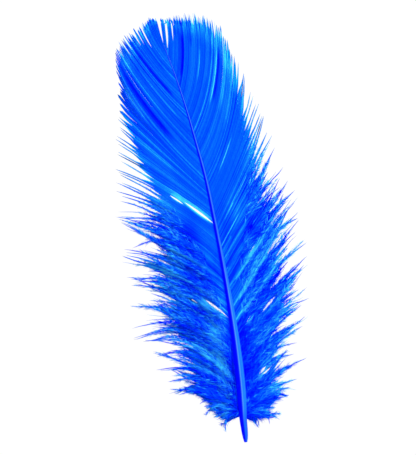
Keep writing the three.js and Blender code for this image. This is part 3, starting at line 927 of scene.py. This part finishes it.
# the looser barbs: how many millimetres past the down they go, how they follow a tuft, spread
# and lie, and their tints; barbuleTint and feltTint make their barbules and bands darker, painted shade
# under the first row of barbs
looseLook = {
    "highest": 4, "fade": (-6, 10), "pull": 0.5, "pullFrom": 0.5, "reach": (0.7, 1.0),
    "spread": (0.3, 1.1), "sink": (-0.5, 0.7), "width": 0.9, "thick": (0.8, 0.5),
    "tint": 0.12, "lights": (-0.3, 0.1, 0.28), "ink": 0.3, "inkFrom": (0.85, 0.97),
    "barbuleTint": -0.08, "feltTint": -0.15,
}
zones = ("DownBase", "DownLow", "DownMiddle", "DownShoulder")
zonesEnd = 90  # past this root there is only web


def layBarbs(rng, vane, tufts, rootOf, count):
    # the first row of barbs, with the web between them; the barb at a tuft's root is its leader
    look, leading = pullLook, tipLook["leader"]
    numbers = np.arange(int(count) + 1)
    roots = rootOf(numbers + rng.uniform(-barbLook["shift"], barbLook["shift"], len(numbers)))
    down = downShare(vane, roots, *tuftLook["fade"])
    away = np.abs(roots[:, None] - tufts["root"][None]).min(1)
    leader = away < np.gradient(roots) * look["leads"]
    shorter = look["shorter"][0] + look["shorter"][1] * down
    reach = 1 - shorter * rng.uniform(0, 1, len(roots)) * ~leader
    least = look["least"][0] - look["least"][1] * down
    pull = np.where(leader, look["most"], look["most"] - look["downLess"] * down)
    pull = pull * rng.uniform(least, 1.0)
    pull = pull * (1 - look["tipLess"] * smoothStep(*look["tip"], roots))
    webFrom = np.clip(webShare(vane, roots) - look["before"], *look["webFrom"])
    pullFrom = look["downFrom"] * down + (1 - down) * webFrom
    pullTo = np.where(roots < look["tip"][0], np.minimum(pullFrom + look["over"] + down, 1), 1.0)
    spread = look["spread"][0] + look["spread"][1] * down
    path, u, rootGrid, near = groom(rng, vane, roots, tufts, pull, pullFrom, pullTo, reach, spread, 0.0)
    half, hooked = webWidths(rng, vane, path, u, rootGrid)
    path = partBarbs(path, rootGrid, u, partings[vane["name"]])
    low, high = tintLook["perBarb"]
    perBarb = rng.normal(0, 1, len(roots)) * (low + (high - low) * down) + tufts["tint"][near]
    tint = tintAt(vane["name"], rootGrid, u, path, perBarb)
    path[..., 2] += (leader * down)[:, None] * leading["rise"] * smoothStep(*leading["riseFrom"], u)
    return {"roots": roots, "path": path, "u": u, "rootGrid": rootGrid, "tint": tint, "half": half,
            "hooked": hooked, "leader": leader, "down": down}


def makeBarbs(vane, barbs):
    # thickens the free barbs, and gives the leaders, the needles and the fringe their tips
    leading, needles, fringes = tipLook["leader"], tipLook["needles"], tipLook["fringe"]
    roots, path, u, down = (barbs[key] for key in ("roots", "path", "u", "down"))
    hooked, leader = barbs["hooked"], barbs["leader"]
    free = 1 - hooked
    beside = roots < needles["to"]
    thick = 1 + (leading["width"] * leader * down)[:, None] * free
    narrowing = 1 - needles["narrows"] * u
    thick = thick + ((1 - down) * beside * leader)[:, None] * needles["width"] * free * narrowing
    half = barbs["half"] * thick
    dark = leading["dark"][0] + leading["dark"][1] * leader[:, None]
    tint = barbs["tint"] - dark * down[:, None] * smoothStep(*leading["darkFrom"], u)
    fringe = smoothStep(*fringes["from"], roots)[:, None]
    light = fringes["light"][0] * smoothStep(*fringes["lightFrom"], u) * hooked
    tint = tint + fringe * (light + fringes["light"][1] * free)
    dark = fringes["dark"] * fringe * smoothStep(*fringes["darkFrom"], u) * leader[:, None]
    crest = -barbLook["crest"] * hooked - dark
    half = half * (1 + fringe * free * (fringes["width"][0] + fringes["width"][1] * leader)[:, None])
    above, webAbove, freeAbove, under = barbLook["thick"]
    top = above + webAbove * hooked + half * freeAbove * free
    distance = np.cumsum(np.linalg.norm(np.diff(path, axis=1), axis=2), axis=1)
    distance = np.concatenate([np.zeros((len(roots), 1)), distance], axis=1)
    bare = smoothStep(*needles["from"], roots) * beside
    inkLook = tipLook["down"]
    downInk = (inkLook["ink"] * (1 - bare))[:, None] * smoothStep(*inkLook["inkFrom"], u)
    needleInk = (bare * leader)[:, None] * smoothStep(*needles["inkFrom"], u)
    inked = free * (downInk + needleInk) * beside[:, None]
    inked = inked + fringes["ink"] * free * fringe * leader[:, None]
    tint = tint + (needles["light"] * bare * (1 - leader))[:, None] * free
    values = {"tint": tint, "other": inked, "along": distance}
    makePiece(f"{vane['name']}Barbs", strandMesh(path, half, top, half * under, values, crest),
              barbMaterial, vane["node"])


def layLooseBarbs(rng, vane, tufts, rootOf, firstRoots):
    # looser barbs lie under and between the first
    look = looseLook
    highest = np.searchsorted(firstRoots, vane["downTop"] + look["highest"])
    roots = rootOf(np.sort(rng.uniform(1, highest, vane["extra"])))
    count = len(roots)
    down = downShare(vane, roots, *look["fade"])
    pull = look["pull"] * rng.uniform(0, 1, count)
    reach = rng.uniform(*look["reach"], count)
    sink = rng.uniform(*look["sink"], count)[:, None]
    path, u, rootGrid, near = groom(
        rng, vane, roots, tufts, pull, np.full(count, look["pullFrom"]), np.ones(count), reach,
        look["spread"][0] + look["spread"][1] * down, sink)
    path = partBarbs(path, rootGrid, u, partings[vane["name"]])
    perBarb = rng.normal(0, look["tint"], count) + tufts["tint"][near]
    tint = tintAt(vane["name"], rootGrid, u, path, perBarb)
    return {"roots": roots, "path": path, "u": u, "rootGrid": rootGrid, "tint": tint,
            "half": ramusWidths(u) * look["width"], "light": rng.choice(look["lights"], count)}


def makeDown(rng, vane, barbs, looseBarbs, zone, low, high):
    # the barbules and close bands of the barbs between two roots, and the looser barbs there
    picked = []
    for row in (barbs, looseBarbs):
        pick = (row["roots"] >= low) & (row["roots"] < high)
        picked.append({key: value[pick] for key, value in row.items()})
    first, loose = picked
    upper, lower = ((row["path"], row["u"], row["rootGrid"]) for row in picked)
    tint = loose["tint"]
    values = {"tint": tint + loose["light"][:, None],
              "other": looseLook["ink"] * smoothStep(*looseLook["inkFrom"], loose["u"]),
              "along": barbLength * loose["u"]}
    half, (above, under) = loose["half"], looseLook["thick"]
    parts = [
        makeBarbules(rng, vane, *upper, first["tint"], barbules["perMillimetre"]),
        # the looser barbs' barbules and bands are darker: painted shade under the first row
        makeBarbules(rng, vane, *lower, tint + looseLook["barbuleTint"], barbules["looseOnes"]),
        makeFelt(rng, vane, *upper, first["tint"]),
        makeFelt(rng, vane, *lower, tint + looseLook["feltTint"]),
        strandMesh(loose["path"], half, half * above, half * under, values),
    ]
    makePiece(f"{vane['name']}{zone}", joinMeshes(parts), barbMaterial, vane["node"])


for vane in vanes.values():
    rng = np.random.default_rng(vane["seed"])
    tufts = makeTufts(rng, vane)
    rootOf, count = rowOfRoots(vane["locks"], *barbLook["pitch"])
    barbs = layBarbs(rng, vane, tufts, rootOf, count)
    makeBarbs(vane, barbs)
    looseBarbs = layLooseBarbs(rng, vane, tufts, rootOf, barbs["roots"])
    borders = rootOf(np.linspace(0, np.searchsorted(barbs["roots"], zonesEnd), len(zones) + 1))
    for zone, low, high in zip(zones, borders[:-1], borders[1:]):
        makeDown(rng, vane, barbs, looseBarbs, zone, low, high)


# Floor, light and camera

studio = {
    "floor": 6.0,  # half its side, in metres
    "floorGrey": 0.01,
    "floorRough": 0.9,
    "table": 1.0,  # the floor glows like a light table, so that it's white with no shadow
    "world": 0.85,
    "key": ((0.95, 0.65, 0.85), 0.35, 42.0),  # place, size and power
    "fill": ((-0.8, -0.5, 1.4), 1.2, 8.0),
}


def makeFloor():
    # a white square around the feather, on the surface it rests on
    size = studio["floor"]
    mesh = bpy.data.meshes.new("floor")
    mesh.from_pydata([(-size, -size, 0), (size, -size, 0), (size, size, 0), (-size, size, 0)],
                     [], [(0, 1, 2, 3)])
    floor = bpy.data.objects.new("floor", mesh)
    bpy.context.scene.collection.objects.link(floor)
    material = bpy.data.materials.new("paleFloor")
    material.use_nodes = True
    shader = material.node_tree.nodes["Principled BSDF"]
    shader.inputs["Base Color"].default_value = (*[studio["floorGrey"]] * 3, 1)
    shader.inputs["Roughness"].default_value = studio["floorRough"]
    shader.inputs["Specular IOR Level"].default_value = 0.0
    shader.inputs["Emission Color"].default_value = (1, 1, 1, 1)
    shader.inputs["Emission Strength"].default_value = studio["table"]
    mesh.materials.append(material)


def addLight(name, place, size, power):
    # a square lamp turned towards the frame's zero point
    light = bpy.data.lights.new(name, "AREA")
    light.shape = "SQUARE"
    light.size = size
    light.energy = power
    lamp = bpy.data.objects.new(name, light)
    lamp.location = place
    aim = -np.array(place)
    lamp.rotation_euler = (math.atan2(math.hypot(aim[0], aim[1]), -aim[2]), 0,
                           math.atan2(aim[1], aim[0]) - math.pi / 2)
    bpy.context.scene.collection.objects.link(lamp)


def makeStudio():
    # even white light from all around, and two lamps that shape the shaft and locks
    world = bpy.data.worlds.new("softRoom")
    bpy.context.scene.world = world
    world.use_nodes = True
    world.node_tree.nodes["Background"].inputs["Color"].default_value = (1, 1, 1, 1)
    world.node_tree.nodes["Background"].inputs["Strength"].default_value = studio["world"]
    addLight("key", *studio["key"])
    addLight("fill", *studio["fill"])
    bpy.context.scene.view_settings.view_transform = "Standard"


# The photograph: its size and two points of it in pixels, and the feather's length
photo = {
    "size": (416, 455),
    "quillEnd": (245.5, 443.0),
    "vaneEnd": (184.0, 15.5),
    "length": 130.0,
    "distance": 1.0,  # from the camera to the feather, in metres
    "height": 4.0,    # of the feather's middle, in millimetres
    "sensor": 36,
    "nearest": 0.01,
}


def makeCamera():
    # straight above the picture's middle, turned so that the feather leans as it does there
    start, end = np.array(photo["quillEnd"]), np.array(photo["vaneEnd"])
    pixel = photo["length"] / np.linalg.norm(end - start)
    ahead = (end - start) / np.linalg.norm(end - start)
    across = np.array([-ahead[1], ahead[0]])
    middle = np.array(photo["size"]) / 2 - start
    centre = np.array([middle @ across, middle @ ahead]) * pixel + shift[:2]
    camera = bpy.data.objects.new("camera", bpy.data.cameras.new("camera"))
    camera.location = (*centre * millimetre, photo["distance"] + photo["height"] * millimetre)
    camera.rotation_euler = (0, 0, -math.atan2(-ahead[0], -ahead[1]))
    camera.data.sensor_width = photo["sensor"]
    halfHeight = photo["size"][1] * pixel / 2 * millimetre
    camera.data.lens = camera.data.sensor_width / 2 * photo["distance"] / halfHeight
    camera.data.clip_start = photo["nearest"]
    bpy.context.scene.collection.objects.link(camera)
    bpy.context.scene.camera = camera


makeFloor()
makeStudio()
makeCamera()
print("floor, light and camera set")
